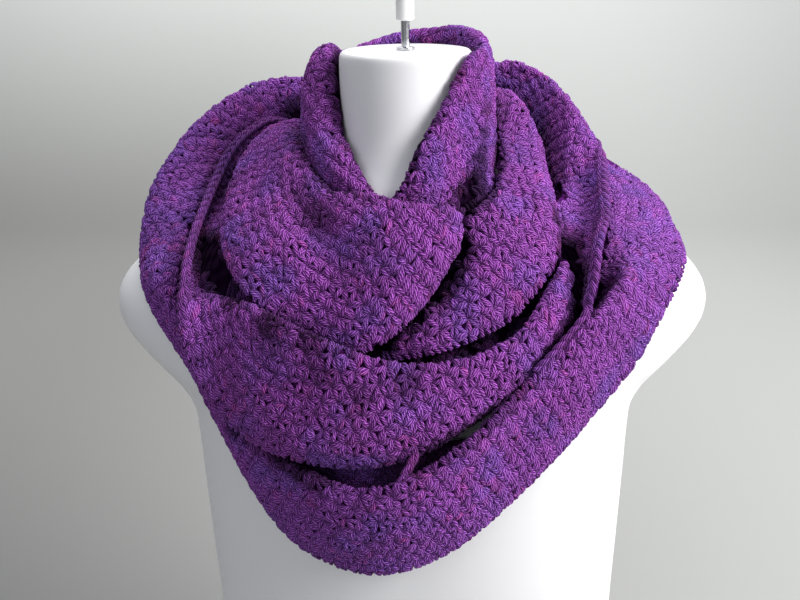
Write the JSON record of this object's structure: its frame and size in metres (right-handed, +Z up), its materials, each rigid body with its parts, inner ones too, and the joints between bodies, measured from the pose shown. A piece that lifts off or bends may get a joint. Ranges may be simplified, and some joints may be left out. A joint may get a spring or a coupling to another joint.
{
  "type": "infinity scarf on dress form",
  "caption": "Chunky crocheted infinity scarf wound twice round the neck of a limbless hanging dress form, a broad outer loop over both shoulders.",
  "frame": {"origin": "middle of the dress form's flat base, below the neck's axis", "axes": "+Z up along the neck's axis, -Y the way the chest faces, +X towards the form's left shoulder"},
  "size_m": [0.434, 0.2978, 0.714],
  "materials": {
    "form_white": "smooth semi-matt moulded plastic",
    "chrome": "bright",
    "sleeve_white": "satin",
    "purple_yarn": "fuzzy chunky plied yarn in single crochet, shading from blue violet to plum"
  },
  "bodies": {
    "root": {"form_body": "form_white", "form_socket": "chrome", "hook_rod": "chrome", "hook_sleeve": "sleeve_white", "scarf_collar": "purple_yarn", "scarf_cowl": "purple_yarn", "scarf_roll": "purple_yarn", "scarf_drape": "purple_yarn", "scarf_shoulder": "purple_yarn", "scarf_outer_loop": "purple_yarn"}
  },
  "joints": []
}
